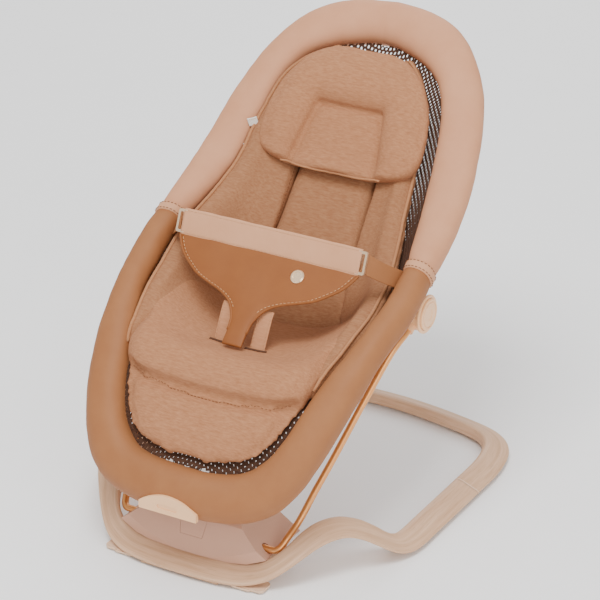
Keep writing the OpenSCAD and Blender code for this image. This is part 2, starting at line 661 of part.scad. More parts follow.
// Rounded binding along both curved edges of the panel.
module belt_binding() {
  color("Tan") for (k = [-1, 1]) {
    pts = [for (i = [0 : 20]) let (q = along(panel_side, i / 20 * 10))
      [k * q[0] * belt_half, band_low[0] + q[1] * cos(panel_tilt) - 1.7 * sin(panel_tilt),
        band_low[1] + q[1] * sin(panel_tilt) + 1.7 * cos(panel_tilt)]];
    rod(k > 0 ? pts : flipped(pts), 2.6, 8);
  }
}
module crotch_strap(k) {
  color("Peru") translate([k * 27, -109, 306]) rotate([66, 0, 0])
    translate([-strap_width / 2, -62, -3]) cube([strap_width, 62, 2]);
}
module crotch_strap_left() { crotch_strap(-1); }
module crotch_strap_right() { crotch_strap(1); }
module belt_stud() {
  y = band_low[0] - 21 * cos(panel_tilt);
  z = band_low[1] - 21 * sin(panel_tilt);
  color("OldLace") translate([0.4 * belt_half, y, z]) rotate([panel_tilt, 0, 0])
    difference() {
      union() {
        cylinder(r = 9.5, h = 5);
        translate([0, 0, 5]) cylinder(r1 = 9.5, r2 = 8, h = 1.2);
      }
      translate([0, 0, 5.6]) cylinder(r = 6, h = 1);
    }
}
// Slotted slider at each end of the belt, lying in the plane of the band.
module slider(k) {
  color("OldLace") translate([k * (belt_half + 1), band_low[0], band_low[1]]) rotate([belt_tilt, 0, 0])
    translate([0, 18, -0.5]) linear_extrude(height = 4.2) difference() {
      rounded(14, 31, 3);
      translate([k * 1.5, 0]) rounded(5, 24, 1.5);
    }
}
module slider_left() { slider(-1); }
module slider_right() { slider(1); }
module side_strap(k) {
  x0 = belt_half + 4;
  n = 8;
  mids = [for (i = [0 : n]) let (a = i / n) [x0 + (171 * kx - x0) * a, -47 + 41 * a, 381 - 34 * a]];
  wide = [for (i = [0 : n]) let (a = i / n) 10 * unit([0.1 * a, 0.39 + 0.5 * a, 0.92 - 0.52 * a])];
  thick = [for (i = [0 : n]) unit(cross(wide[i], mids[n] - mids[0]))];
  upper = [for (i = [0 : n]) [mids[i] - wide[i] + thick[i], mids[i] + wide[i] + thick[i]]];
  lower = [for (i = [0 : n]) [mids[i] - wide[i] - thick[i], mids[i] + wide[i] - thick[i]]];
  color("Sienna") if (k > 0) slab(upper, lower);
  else mirror([1, 0, 0]) slab(upper, lower);
}
module side_strap_left() { side_strap(-1); }
module side_strap_right() { side_strap(1); }

// ---- small trim ----
module front_tab() {
  color("OldLace") translate([0, -305.5, 113]) rotate([90, 0, 0]) difference() {
    linear_extrude(height = 6) intersection() {
      translate([-43, -12]) square([86, 27]);
      translate([0, -53]) circle(r = 67, $fn = 96);
    }
    translate([0, -2, 5]) linear_extrude(height = 2) rounded(30, 6, 2.4);
  }
}
module tag(p, lean) {
  color("White") translate(lay(p)) rotate([46, lean, 10]) linear_extrude(height = 2.4) rounded(14, 12, 2);
}
module tag_upper() { tag([-136, 136, 456], 20); }
module tag_lower() { tag([-135, 124, 424], 20); }

base_front_bow();
base_rear_bow();
rail_spigots();
joint_ring_left();
joint_ring_right();
front_foot_left();
front_foot_right();
front_pads();
rear_pads();
hub_base();
hub_cover();
hub_screws();
axle_bushes();
fold_drum();
fold_button();
fold_spring();
wire_frame();
side_hub_left();
side_hub_right();
recline_button_left();
recline_button_right();
recline_spring_left();
recline_spring_right();
pivot_pin_left();
pivot_pin_right();
seat_bracket_left();
seat_bracket_right();
seat_hoop();
lower_rim();
upper_rim();
seam_band_left();
seam_band_right();
mesh_sling();
inlay_back();
inlay_wing_left();
inlay_wing_right();
inlay_piping_left();
inlay_piping_right();
seat_cushion();
seat_pillow();
belt_band();
belt_panel();
belt_binding();
crotch_strap_left();
crotch_strap_right();
belt_stud();
slider_left();
slider_right();
side_strap_left();
side_strap_right();
front_tab();
tag_upper();
tag_lower();
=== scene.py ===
import math
import bmesh
import bpy
import numpy as np
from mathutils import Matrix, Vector, noise
from mathutils.bvhtree import BVHTree


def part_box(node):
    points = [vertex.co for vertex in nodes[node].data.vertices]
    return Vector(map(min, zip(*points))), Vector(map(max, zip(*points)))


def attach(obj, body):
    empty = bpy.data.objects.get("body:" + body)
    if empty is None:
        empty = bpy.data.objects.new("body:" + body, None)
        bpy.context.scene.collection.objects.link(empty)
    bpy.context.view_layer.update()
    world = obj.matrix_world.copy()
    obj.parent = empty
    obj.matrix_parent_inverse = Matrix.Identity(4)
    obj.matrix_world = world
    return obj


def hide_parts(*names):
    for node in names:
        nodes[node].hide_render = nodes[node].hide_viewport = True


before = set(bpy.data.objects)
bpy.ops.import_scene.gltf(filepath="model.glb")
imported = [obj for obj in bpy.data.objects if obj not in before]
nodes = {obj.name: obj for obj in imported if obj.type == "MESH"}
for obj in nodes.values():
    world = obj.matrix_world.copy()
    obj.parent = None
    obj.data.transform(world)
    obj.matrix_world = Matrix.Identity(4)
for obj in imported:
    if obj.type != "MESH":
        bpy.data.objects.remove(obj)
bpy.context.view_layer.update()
print("frame loaded")


# ---- camera, light and floor ----
def makeCamera():
    view = {"azimuth": 29.893, "elevation": 25.690, "target": (0, 0.03, 0.25), "distance": 3.8131}
    azimuth, elevation = math.radians(view["azimuth"]), math.radians(view["elevation"])
    ahead = Vector((-math.sin(azimuth) * math.cos(elevation), math.cos(azimuth) * math.cos(elevation),
                    -math.sin(elevation)))
    data = bpy.data.cameras.new("camera")
    data.lens = 170.24
    data.sensor_width = 36
    data.shift_x = -0.0012
    data.shift_y = 0.0147
    data.clip_end = 50
    camera = bpy.data.objects.new("camera", data)
    camera.location = Vector(view["target"]) - ahead * view["distance"]
    camera.rotation_euler = ahead.to_track_quat("-Z", "Y").to_euler()
    bpy.context.scene.collection.objects.link(camera)
    bpy.context.scene.camera = camera


def makeLight(name, place, size, power, aim=(0, 0, 0.3)):
    data = bpy.data.lights.new(name, "AREA")
    data.size = size
    data.energy = power
    light = bpy.data.objects.new(name, data)
    light.location = place
    light.rotation_euler = (Vector(aim) - Vector(place)).to_track_quat("-Z", "Y").to_euler()
    bpy.context.scene.collection.objects.link(light)


# ---- colours, nodes and finishes ----
def linear(text):
    out = []
    for k in (0, 2, 4):
        c = int(text[k:k + 2], 16) / 255
        out.append(c / 12.92 if c <= 0.04045 else ((c + 0.055) / 1.055) ** 2.4)
    return (*out, 1.0)


def addNode(tree, kind, settings=None, **inputs):
    node = tree.nodes.new(kind)
    for key, value in (settings or {}).items():
        setattr(node, key, value)
    for key, value in inputs.items():
        socket = node.inputs[key.replace("_", " ")]
        if isinstance(value, bpy.types.NodeSocket):
            tree.links.new(value, socket)
        else:
            socket.default_value = value
    return node


def startFinish(name):
    material = bpy.data.materials.new(name)
    material.use_nodes = True
    tree = material.node_tree
    shader = next(n for n in tree.nodes if n.type == "BSDF_PRINCIPLED")
    return material, tree, shader


def plug(tree, value, socket):
    tree.links.new(value, socket)


# Blends two colours; a colour mix keeps its factor in socket 0 and its colours in 6 and 7.
def mixColour(tree, factor, low, high):
    mix = tree.nodes.new("ShaderNodeMix")
    mix.data_type = "RGBA"
    plug(tree, factor, mix.inputs[0])
    for value, k in ((low, 6), (high, 7)):
        if isinstance(value, bpy.types.NodeSocket):
            plug(tree, value, mix.inputs[k])
        else:
            mix.inputs[k].default_value = value
    return mix.outputs[2]


# Spreads the range low..high of a value over bottom..top.
def mapRange(tree, value, low=0.0, high=1.0, bottom=0.0, top=1.0):
    node = addNode(tree, "ShaderNodeMapRange", Value=value)
    for k, setting in enumerate((low, high, bottom, top), 1):
        node.inputs[k].default_value = setting
    return node.outputs[0]


# Brushed knit or weave: short heather streaks over slow patches, with a fine rib in the relief.
def clothFinish(name, low, high, relief, nap=0.35, grain=460.0):
    material, tree, shader = startFinish(name)
    place = addNode(tree, "ShaderNodeTexCoord").outputs["Object"]
    stretch = addNode(tree, "ShaderNodeMapping", Vector=place)
    stretch.inputs["Scale"].default_value = (0.22, 1.0, 1.0)
    heather = addNode(tree, "ShaderNodeTexNoise", Vector=stretch.outputs[0], Scale=grain, Detail=4.0,
                      Roughness=0.7)
    patch = addNode(tree, "ShaderNodeTexNoise", Vector=place, Scale=11.0, Detail=3.0)
    rib = addNode(tree, "ShaderNodeTexWave", {"bands_direction": "DIAGONAL"}, Vector=place, Scale=230.0,
                  Distortion=1.5, Detail=1.0)
    spread = mapRange(tree, heather.outputs["Fac"], 0.34, 0.66)
    streak = mixColour(tree, spread, linear(low), linear(high))
    slow = mapRange(tree, patch.outputs["Fac"], top=0.35)
    plug(tree, mixColour(tree, slow, streak, linear(low)), shader.inputs["Base Color"])
    height = addNode(tree, "ShaderNodeMath", {"operation": "MULTIPLY_ADD"})
    plug(tree, rib.outputs["Fac"], height.inputs[0])
    height.inputs[1].default_value = 0.3
    plug(tree, heather.outputs["Fac"], height.inputs[2])
    shader.inputs["Roughness"].default_value = 0.92
    shader.inputs["Sheen Weight"].default_value = nap
    shader.inputs["Sheen Roughness"].default_value = 0.5
    shader.inputs["Sheen Tint"].default_value = linear(high)
    bump = addNode(tree, "ShaderNodeBump", Strength=relief, Distance=0.0006, Height=height.outputs[0])
    plug(tree, bump.outputs[0], shader.inputs["Normal"])
    return material


# Imitation leather or suede: small pebble grain over soft mottling.
def hideFinish(name, low, high, grain, relief, rough, nap=0.0):
    material, tree, shader = startFinish(name)
    place = addNode(tree, "ShaderNodeTexCoord").outputs["Object"]
    cells = addNode(tree, "ShaderNodeTexVoronoi", Vector=place, Scale=1 / grain)
    mottle = addNode(tree, "ShaderNodeTexNoise", Vector=place, Scale=26.0, Detail=6.0, Roughness=0.6)
    fine = addNode(tree, "ShaderNodeTexNoise", Vector=place, Scale=420.0, Detail=3.0)
    spread = mapRange(tree, mottle.outputs["Fac"], 0.2, 0.8)
    plug(tree, mixColour(tree, spread, linear(low), linear(high)), shader.inputs["Base Color"])
    height = addNode(tree, "ShaderNodeMath", {"operation": "ADD"})
    plug(tree, cells.outputs["Distance"], height.inputs[0])
    plug(tree, fine.outputs["Fac"], height.inputs[1])
    bump = addNode(tree, "ShaderNodeBump", Strength=relief, Distance=0.0004, Height=height.outputs[0])
    plug(tree, bump.outputs[0], shader.inputs["Normal"])
    wear = mapRange(tree, mottle.outputs["Fac"], bottom=rough - 0.06, top=rough + 0.06)
    plug(tree, wear, shader.inputs["Roughness"])
    shader.inputs["Specular IOR Level"].default_value = 0.3
    shader.inputs["Sheen Weight"].default_value = nap
    shader.inputs["Sheen Tint"].default_value = linear(high)
    return material


# Wood with grain along the U of its map.
def woodFinish(name, pale, mid, dark):
    material, tree, shader = startFinish(name)
    uv = addNode(tree, "ShaderNodeTexCoord").outputs["UV"]
    stretch = addNode(tree, "ShaderNodeMapping", Vector=uv)
    stretch.inputs["Scale"].default_value = (5.0, 95.0, 1.0)
    grain = addNode(tree, "ShaderNodeTexNoise", Vector=stretch.outputs[0], Scale=1.6, Detail=8.0,
                    Roughness=0.62, Distortion=0.4)
    pores = addNode(tree, "ShaderNodeMapping", Vector=uv)
    pores.inputs["Scale"].default_value = (40.0, 900.0, 1.0)
    fine = addNode(tree, "ShaderNodeTexNoise", Vector=pores.outputs[0], Scale=1.0, Detail=2.0)
    body = mixColour(tree, mapRange(tree, grain.outputs["Fac"], 0.32, 0.7), linear(pale), linear(mid))
    mark = mapRange(tree, fine.outputs["Fac"], 0.58, 0.78, top=0.5)
    plug(tree, mixColour(tree, mark, body, linear(dark)), shader.inputs["Base Color"])
    shader.inputs["Roughness"].default_value = 0.5
    bump = addNode(tree, "ShaderNodeBump", Strength=0.12, Distance=0.0004, Height=grain.outputs["Fac"])
    plug(tree, bump.outputs[0], shader.inputs["Normal"])
    return material


# Moulded plastic, painted or bare metal, rubber: slight clouding and a fine skin.
def skinFinish(name, low, high, rough, metal=0.0, relief=0.05, grain=700.0, coat=0.0):
    material, tree, shader = startFinish(name)
    place = addNode(tree, "ShaderNodeTexCoord").outputs["Object"]
    cloud = addNode(tree, "ShaderNodeTexNoise", Vector=place, Scale=14.0, Detail=3.0)
    fine = addNode(tree, "ShaderNodeTexNoise", Vector=place, Scale=grain, Detail=2.0)
    plug(tree, mixColour(tree, cloud.outputs["Fac"], linear(low), linear(high)), shader.inputs["Base Color"])
    wear = mapRange(tree, fine.outputs["Fac"], bottom=rough - 0.05, top=rough + 0.07)
    plug(tree, wear, shader.inputs["Roughness"])
    shader.inputs["Metallic"].default_value = metal
    shader.inputs["Coat Weight"].default_value = coat
    bump = addNode(tree, "ShaderNodeBump", Strength=relief, Distance=0.0003, Height=fine.outputs["Fac"])
    plug(tree, bump.outputs[0], shader.inputs["Normal"])
    return material


finish = {
    # brushed jersey over foam, warm brown
    "inlayJersey": clothFinish("inlay_jersey", "925f3d", "aa7954", 0.35, 0.1),
    # the same jersey, a little paler, on the pillow and the seat
    "pillowJersey": clothFinish("pillow_jersey", "9d6743", "b6805a", 0.35, 0.1),
    # light imitation suede of the upper rim
    "upperSuede": hideFinish("upper_suede", "c58964", "cd9470", 0.0016, 0.05, 0.66, 0.03),
    # darker imitation suede of the lower rim
    "lowerSuede": hideFinish("lower_suede", "935d36", "9e6840", 0.0016, 0.05, 0.62, 0.03),
    # rosy band cloth on the rim joint and the belt
    "bandSuede": hideFinish("band_suede", "c78f69", "d09b77", 0.0014, 0.06, 0.66, 0.05),
    # caramel imitation leather of the belt
    "beltLeather": hideFinish("belt_leather", "834a20", "8f5528", 0.0013, 0.12, 0.56, 0.0),
    # paler webbing of the crotch straps
    "strapWeb": clothFinish("strap_web", "b67c56", "c48c66", 0.25, 0.1),
    # dark spacer mesh
    "spacerMesh": clothFinish("spacer_mesh", "3a2012", "553520", 0.3, 0.05),
    # piping cord cover
    "pipingCloth": clothFinish("piping_cloth", "a8714a", "b8835b", 0.3, 0.1),
    # woven label cloth
    "labelCloth": clothFinish("label_cloth", "e4ddd0", "f4efe6", 0.3, 0.05),
    # sewing thread
    "paleThread": skinFinish("pale_thread", "c29064", "cf9f76", 0.8),
    "brownThread": skinFinish("brown_thread", "6f4020", "80502d", 0.8),
    # painted shade: a dark strip that stands in for the shaded gap of a cut slit
    "slitGapShade": skinFinish("slit_gap_painted_shade", "4a2a16", "5a351d", 0.9),
    # satin varnished beech
    "beech": woodFinish("satin_beech", "ddb592", "c39670", "986a43"),
    # gold powder coat on steel wire
    "goldCoat": skinFinish("gold_powder_coat", "dc9250", "eda865", 0.3, 0.6, 0.06),
    # rosy sand plastic of the front cover
    "sandPlastic": skinFinish("sand_plastic", "c8977b", "d1a289", 0.42),
    # inner structural plastic
    "innerPlastic": skinFinish("inner_plastic", "b78f6c", "c29b79", 0.55),
    # cream plastic of knobs and tab
    "creamPlastic": skinFinish("cream_plastic", "f3b981", "f9c798", 0.32, coat=0.15),
    # pale plastic of rail rings, feet and bushes
    "palePlastic": skinFinish("pale_plastic", "dcb898", "e6c5a8", 0.5),
    # anti-slip rubber
    "greyRubber": skinFinish("grey_rubber", "b59a84", "c0a690", 0.85, relief=0.25),
    # plain and plated steel
    "plainSteel": skinFinish("plain_steel", "a9adb2", "c2c6ca", 0.34, 1.0),
    "champagneMetal": skinFinish("champagne_metal", "ecc9a2", "f6dab8", 0.28, 0.8),
    # pale studio floor
    "studioFloor": skinFinish("studio_floor", "fcfcfc", "ffffff", 0.95, relief=0.0),
}


# ---- shared shape tables, in millimetres; points are (x, y, z), or (y, z) on the middle line ----
# Rim stations: outer point, inner point, half depth, sling middle line.
rim = [
    ((0, -297, 97), (0, -262, 148), 27, (-262, 148)),
    ((50, -295, 97), (42, -261, 149), 27, (-258, 152)),
    ((98, -284, 103), (78, -252, 154), 27, (-248, 163)),
    ((134, -268, 120), (103, -238, 170), 27, (-236, 180)),
    ((158, -245, 148), (119, -221, 194), 26, (-222, 200)),
    ((174, -221, 183), (130, -199, 219), 25, (-208, 218)),
    ((185, -196, 215), (138, -174, 242), 24, (-190, 231)),
    ((194, -164, 251), (147, -152, 260), 23, (-165, 236)),
    ((200, -130, 282), (158, -122, 278), 22, (-135, 234)),
    ((206, -95, 303), (166, -93, 298), 22, (-100, 229)),
    ((210, -62, 319), (170, -61, 314), 22, (-62, 223)),
    ((211, -27, 335), (171, -26, 335), 22, (-22, 222)),
    ((209, 9, 352), (169, 9, 354), 22, (12, 232)),
    ((208, 44, 371), (161, 44, 371), 21.5, (42, 262)),
    ((206, 80, 391), (152, 80, 390), 21, (68, 298)),
    ((203, 112, 412), (144, 111, 411), 20, (92, 330)),
    ((198, 143, 437), (139, 139, 438), 20, (116, 362)),
    ((191, 170, 463), (133, 163, 466), 20, (140, 394)),
    ((183, 196, 487), (127, 182, 490), 20, (164, 425)),
    ((172, 220, 511), (119, 199, 511), 20.5, (187, 455)),
    ((158, 241, 532), (109, 212, 526), 21, (206, 480)),
    ((140, 260, 553), (97, 222, 536), 21.5, (222, 500)),
    ((118, 276, 571), (82, 232, 542), 22, (235, 516)),
    ((92, 289, 584), (64, 242, 546), 22.5, (246, 530)),
    ((62, 298, 592), (43, 252, 549), 23, (254, 540)),
    ((31, 303, 596), (21, 260, 551), 23, (260, 547)),
    ((0, 305, 598), (0, 263, 552), 23, (263, 551)),
]
outerLine, innerLine = [r[0] for r in rim], [r[1] for r in rim]
depthLine, middleLine = [(r[2],) for r in rim], [r[3] for r in rim]
topStation, seamStation = len(rim) - 1, 12
# Half of the floor bow: outer lower edge from front middle to rear middle.
bow = [
    (0, -293, 5), (30, -292, 5), (58, -289.5, 5), (83, -285, 5.5), (105, -277.5, 9), (124, -267, 16), (140, -253, 27),
    (155, -236, 40), (168, -219, 51), (180, -202, 57), (192, -184, 57), (204, -166, 49), (216, -149, 36),
    (227, -132, 22), (236, -114, 11), (243, -94, 6), (246, -70, 5), (246, -40, 5), (246, -10, 5), (246, 25, 5),
    (246, 55, 5), (246, 87, 5), (246, 105, 5), (246, 122, 5), (245.5, 142, 5), (243.5, 164, 5), (239, 188, 5),
    (231, 212, 5), (217, 234, 5), (197, 251, 5), (172, 262, 5), (140, 270, 5), (105, 277, 5), (70, 282.5, 5),
    (35, 286, 5), (0, 287, 5),
]
bowProfile = [(0, 2.6), (1.2, 0.7), (3, 0), (35, 0), (37.4, 1), (38, 3.4), (37.6, 11), (36.1, 14.4), (33.1, 16.2),
              (30, 16.4), (25.8, 15.2), (14, 10.3), (4, 6.2), (1.1, 4.8)]
wireArm = [(0, 0, 0), (60, 0, 0), (100, 0, 0), (108, 0, 0), (114, 1, 0.5), (119, 6, 4), (123, 17, 14), (128, 40, 31),
           (137, 63, 64), (148, 89, 100.5), (165, 130, 160), (181, 170, 215), (187, 188, 233), (190.5, 201, 241.5),
           (191.5, 210, 246.5), (191.5, 217, 250.5)]


# Smooth line through the points; s counts them from 0.
def splineAt(points, s):
    p = np.asarray(points, float)
    s = np.atleast_1d(np.asarray(s, float))
    last = len(p) - 1
    i = np.clip(np.floor(s).astype(int), 0, last - 1)
    t = (s - i)[:, None]
    a, b, c, d = p[np.maximum(i - 1, 0)], p[i], p[i + 1], p[np.minimum(i + 2, last)]
    square, cube = 2 * a - 5 * b + 4 * c - d, 3 * b - a - 3 * c + d
    return 0.5 * (2 * b + (c - a) * t + square * t ** 2 + cube * t ** 3)


def unit(v):
    return v / np.maximum(np.linalg.norm(v, axis=-1, keepdims=True), 1e-9)


# Soft step from 0 at a to 1 at b.
def ease(a, b, v):
    t = np.clip((np.asarray(v, float) - a) / (b - a), 0, 1)
    return t * t * (3 - 2 * t)


# ---- mesh helpers ----
def makeObject(name, verts, faces, material, uvs=None):
    mesh = bpy.data.meshes.new(name)
    mesh.from_pydata([tuple(v) for v in verts], [], faces)
    if uvs is not None:
        layer = mesh.uv_layers.new(name="UVMap")
        layer.data.foreach_set("uv", [c for face in faces for k in face for c in uvs[k]])
    mesh.polygons.foreach_set("use_smooth", [True] * len(faces))
    mesh.materials.append(material)
    obj = bpy.data.objects.new(name, mesh)
    bpy.context.scene.collection.objects.link(obj)
    return obj


# Tube through rings of points (rings, around, 3), closed with one face at each end.
def tubeObject(name, rings, material):
    n, m = rings.shape[:2]
    verts = rings.reshape(-1, 3)
    faces = []
    for i in range(n - 1):
        for j in range(m):
            a, b = i * m + j, i * m + (j + 1) % m
            faces.append((a, a + m, b + m, b))
    faces.append(tuple(range(m)))
    faces.append(tuple((n - 1) * m + j for j in range(m - 1, -1, -1)))
    step = np.linalg.norm(np.diff(rings.mean(axis=1), axis=0), axis=1)
    along = np.concatenate([[0], np.cumsum(step)])
    girth = np.linalg.norm(rings[n // 2] - np.roll(rings[n // 2], 1, axis=0), axis=1)
    around = np.cumsum(girth)
    uvs = [(along[i], around[j]) for i in range(n) for j in range(m)]
    obj = makeObject(name, verts, faces, material, uvs)
    turnOut(obj)
    return obj


def turnOut(obj):
    form = bmesh.new()
    form.from_mesh(obj.data)
    bmesh.ops.recalc_face_normals(form, faces=form.faces)
    form.to_mesh(obj.data)
    form.free()


# Rings of a round or flat cord along points, in metres; a low power squares the section.
def cordRings(points, across, thick, count=12, up=(0, 0, 1), power=1.0):
    p = np.asarray(points, float)
    t = unit(np.gradient(p, axis=0))
    upArray = np.broadcast_to(np.asarray(up, float), p.shape)
    side = unit(np.cross(upArray, t))
    rise = unit(np.cross(t, side))
    angle = np.linspace(0, 2 * math.pi, count, endpoint=False)
    c, s = np.cos(angle), np.sin(angle)
    c, s = np.sign(c) * np.abs(c) ** power, np.sign(s) * np.abs(s) ** power
    wide, high = across * c[None, :, None] * side[:, None], thick * s[None, :, None] * rise[:, None]
    return p[:, None] + wide + high


# Row of short thread stitches along a line of points, laid on a surface.
def stitchRow(name, points, material, stitch=0.0032, gap=0.0022, radius=0.0005):
    p = np.asarray(points, float)
    length = np.concatenate([[0], np.cumsum(np.linalg.norm(np.diff(p, axis=0), axis=1))])
    verts, faces = [], []
    at, around = gap, 6
    while at + stitch < length[-1]:
        spots = [np.array([np.interp(at + stitch * f, length, p[:, k]) for k in range(3)])
                 for f in (0, 0.5, 1)]
        rings = cordRings(spots, radius, radius, around, up=(0.2, 0.5, 0.8))
        base = len(verts)
        verts += list(rings.reshape(-1, 3))
        for i in range(2):
            for j in range(around):
                a, b = base + i * around + j, base + i * around + (j + 1) % around
                faces.append((a, b, b + around, a + around))
        faces.append(tuple(base + j for j in range(around - 1, -1, -1)))
        faces.append(tuple(base + 2 * around + j for j in range(around)))
        at += stitch + gap
    return makeObject(name, verts, faces, material)


# Closed pad between a grid of top points and a grid of under points.
def padObject(name, tops, unders, material):
    n, m = tops.shape[:2]
    verts = np.concatenate([tops.reshape(-1, 3), unders.reshape(-1, 3)])
    k = n * m
    faces = []
    for i in range(n - 1):
        for j in range(m - 1):
            a, b, c, d = i * m + j, i * m + j + 1, (i + 1) * m + j + 1, (i + 1) * m + j
            faces.append((a, b, c, d))
            faces.append((k + d, k + c, k + b, k + a))
    edge = [(j, j + 1) for j in range(m - 1)]
    edge += [(i * m + m - 1, (i + 1) * m + m - 1) for i in range(n - 1)]
    edge += [((n - 1) * m + j, (n - 1) * m + j - 1) for j in range(m - 1, 0, -1)]
    edge += [(i * m, (i - 1) * m) for i in range(n - 1, 0, -1)]
    faces += [(b, a, k + a, k + b) for a, b in edge]
    obj = makeObject(name, verts, faces, material)
    turnOut(obj)
    return obj


def applyModifiers(obj):
    depsgraph = bpy.context.evaluated_depsgraph_get()
    mesh = bpy.data.meshes.new_from_object(obj.evaluated_get(depsgraph))
    obj.modifiers.clear()
    obj.data = mesh


# Fills a pad with air for a moment so that its cloth swells and creases, then keeps that shape;
# no point moves further than about cap.
def swellPad(obj, voxel, cap, pressure=4.0, frames=20):
    remesh = obj.modifiers.new("remesh", "REMESH")
    remesh.mode = "VOXEL"
    remesh.voxel_size = voxel
    remesh.use_smooth_shade = True
    applyModifiers(obj)
    start = np.empty(len(obj.data.vertices) * 3)
    obj.data.vertices.foreach_get("co", start)
    cloth = obj.modifiers.new("cloth", "CLOTH")
    cloth.settings.use_pressure = True
    cloth.settings.uniform_pressure_force = pressure
    cloth.settings.quality = 4
    cloth.settings.tension_stiffness = 12
    cloth.settings.bending_stiffness = 0.4
    cloth.settings.effector_weights.gravity = 0
    cloth.collision_settings.use_collision = False
    scene = bpy.context.scene
    for k in range(1, frames + 1):
        scene.frame_set(k)
    applyModifiers(obj)
    scene.frame_set(1)
    end = np.empty(len(obj.data.vertices) * 3)
    obj.data.vertices.foreach_get("co", end)
    a, b = start.reshape(-1, 3), end.reshape(-1, 3)
    move = b - a
    size = np.linalg.norm(move, axis=1, keepdims=True)
    move *= cap * np.tanh(size / cap) / np.maximum(size, 1e-9)
    obj.data.vertices.foreach_set("co", (a + move).ravel())


def refine(obj):
    smoother = obj.modifiers.new("round", "SUBSURF")
    smoother.levels = smoother.render_levels = 1
    applyModifiers(obj)
    obj.data.polygons.foreach_set("use_smooth", [True] * len(obj.data.polygons))


# Sews a line into a soft piece: points near the path sink along their normals.
def sewLine(obj, path, width, depth):
    p = np.asarray(path, float)
    mesh = obj.data
    verts = np.array([v.co for v in mesh.vertices])
    normals = np.array([v.normal for v in mesh.vertices])
    best = np.full(len(verts), 1e9)
    for a, b in zip(p[:-1], p[1:]):
        d = b - a
        t = np.clip(((verts - a) @ d) / max(d @ d, 1e-12), 0, 1)
        best = np.minimum(best, np.linalg.norm(verts - (a + t[:, None] * d), axis=1))
    fall = np.where(best < width, (1 - (best / width) ** 2) ** 2, 0)
    mesh.vertices.foreach_set("co", (verts - normals * (depth * fall)[:, None]).ravel())
    mesh.update()


# Pushes the points in and out by slow noise.
def ruffle(obj, amount, scale, seed):
    mesh = obj.data
    for v in mesh.vertices:
        shift = noise.noise(v.co * scale + Vector((seed, seed, seed)))
        v.co += v.normal * (amount * shift)
    mesh.update()


# Lays a path onto a piece and lifts it a little off the surface.
def layOn(obj, path, lift):
    mesh = obj.data
    tree = BVHTree.FromPolygons([v.co for v in mesh.vertices], [tuple(f.vertices) for f in mesh.polygons])
    out = []
    for point in path:
        spot, normal, _, _ = tree.find_nearest(Vector(point))
        out.append(np.array(spot + normal * lift))
    return out


# ---- rim and bucket surfaces ----
# Rings round the rim at stations s, grown by some millimetres, in metres.
def rimSections(s, grow, count=44):
    shape = {"square": 0.86, "slim": 0.23, "hubStation": 11}
    s = np.asarray(s, float)

    def mid(v):
        return (splineAt(outerLine, v) + splineAt(innerLine, v)) / 2

    o, i = splineAt(outerLine, s), splineAt(innerLine, s)
    centre, out = (o + i) / 2, unit(o - i)
    ahead = mid(s + 0.2) - mid(s - 0.2)
    ahead[s <= 0] = (mid(0.2) - mid(0.2) * [-1, 1, 1])[0]
    ahead[s >= topStation] = (mid(topStation - 0.2) * [-1, 1, 1] - mid(topStation - 0.2))[0]
    down = unit(np.cross(unit(ahead), out))
    a = np.linalg.norm(o - i, axis=1) / 2 + grow
    b = splineAt(depthLine, s)[:, 0]
    # the underside is slimmer over the side hubs
    under = 1 - shape["slim"] * (1 - ease(2.5, 5, np.abs(s - shape["hubStation"])))
    angle = np.linspace(0, 2 * math.pi, count, endpoint=False)
    c, d = np.cos(angle), np.sin(angle)
    half = np.where(d[None, :] > 0, (b * under)[:, None], b[:, None]) + np.reshape(grow, (-1, 1))
    c, d = np.sign(c) * np.abs(c) ** shape["square"], np.sign(d) * np.abs(d) ** shape["square"]
    wide = (a[:, None] * c[None])[..., None] * out[:, None]
    deep = (half * d[None])[..., None] * down[:, None]
    return (centre[:, None] + wide + deep) / 1000


def mirrorRings(rings):
    return rings[::-1] * np.array([-1, 1, 1])


# Direction square to the sling's middle line.
def middleUp(s):
    ahead, behind = np.minimum(s + 0.3, topStation), np.maximum(s - 0.3, 0)
    d = unit(splineAt(middleLine, ahead) - splineAt(middleLine, behind))
    return np.stack([np.zeros(len(d)), -d[:, 1], d[:, 0]], axis=1)


# Point of the bucket in metres at station s, share w across and t millimetres over the sling,
# whose edge lies a tenth of the way into the rim.
def bucketAt(s, w, t=0.0):
    s, w, t = np.broadcast_arrays(np.asarray(s, float), np.asarray(w, float), np.asarray(t, float))
    shape = s.shape
    s, w, t = s.ravel(), w.ravel(), t.ravel()
    edge = splineAt(innerLine, s) * 0.9 + splineAt(outerLine, s) * 0.1
    mid = splineAt(middleLine, s)
    centre = np.column_stack([np.zeros(len(s)), mid]) + middleUp(s) * t[:, None]
    f = np.abs(w) ** 2.6
    x = w * np.maximum(edge[:, 0] - t * 0.2 * f, 0)
    rest = centre[:, 1:] + (edge[:, 1:] - centre[:, 1:]) * f[:, None]
    return (np.column_stack([x, rest]) / 1000).reshape(*shape, 3)


def bucketNormal(s, w):
    alongS = bucketAt(np.asarray(s) + 0.15, w) - bucketAt(np.asarray(s) - 0.15, w)
    alongW = bucketAt(s, np.asarray(w) + 0.01) - bucketAt(s, np.asarray(w) - 0.01)
    return unit(np.cross(alongW, alongS))


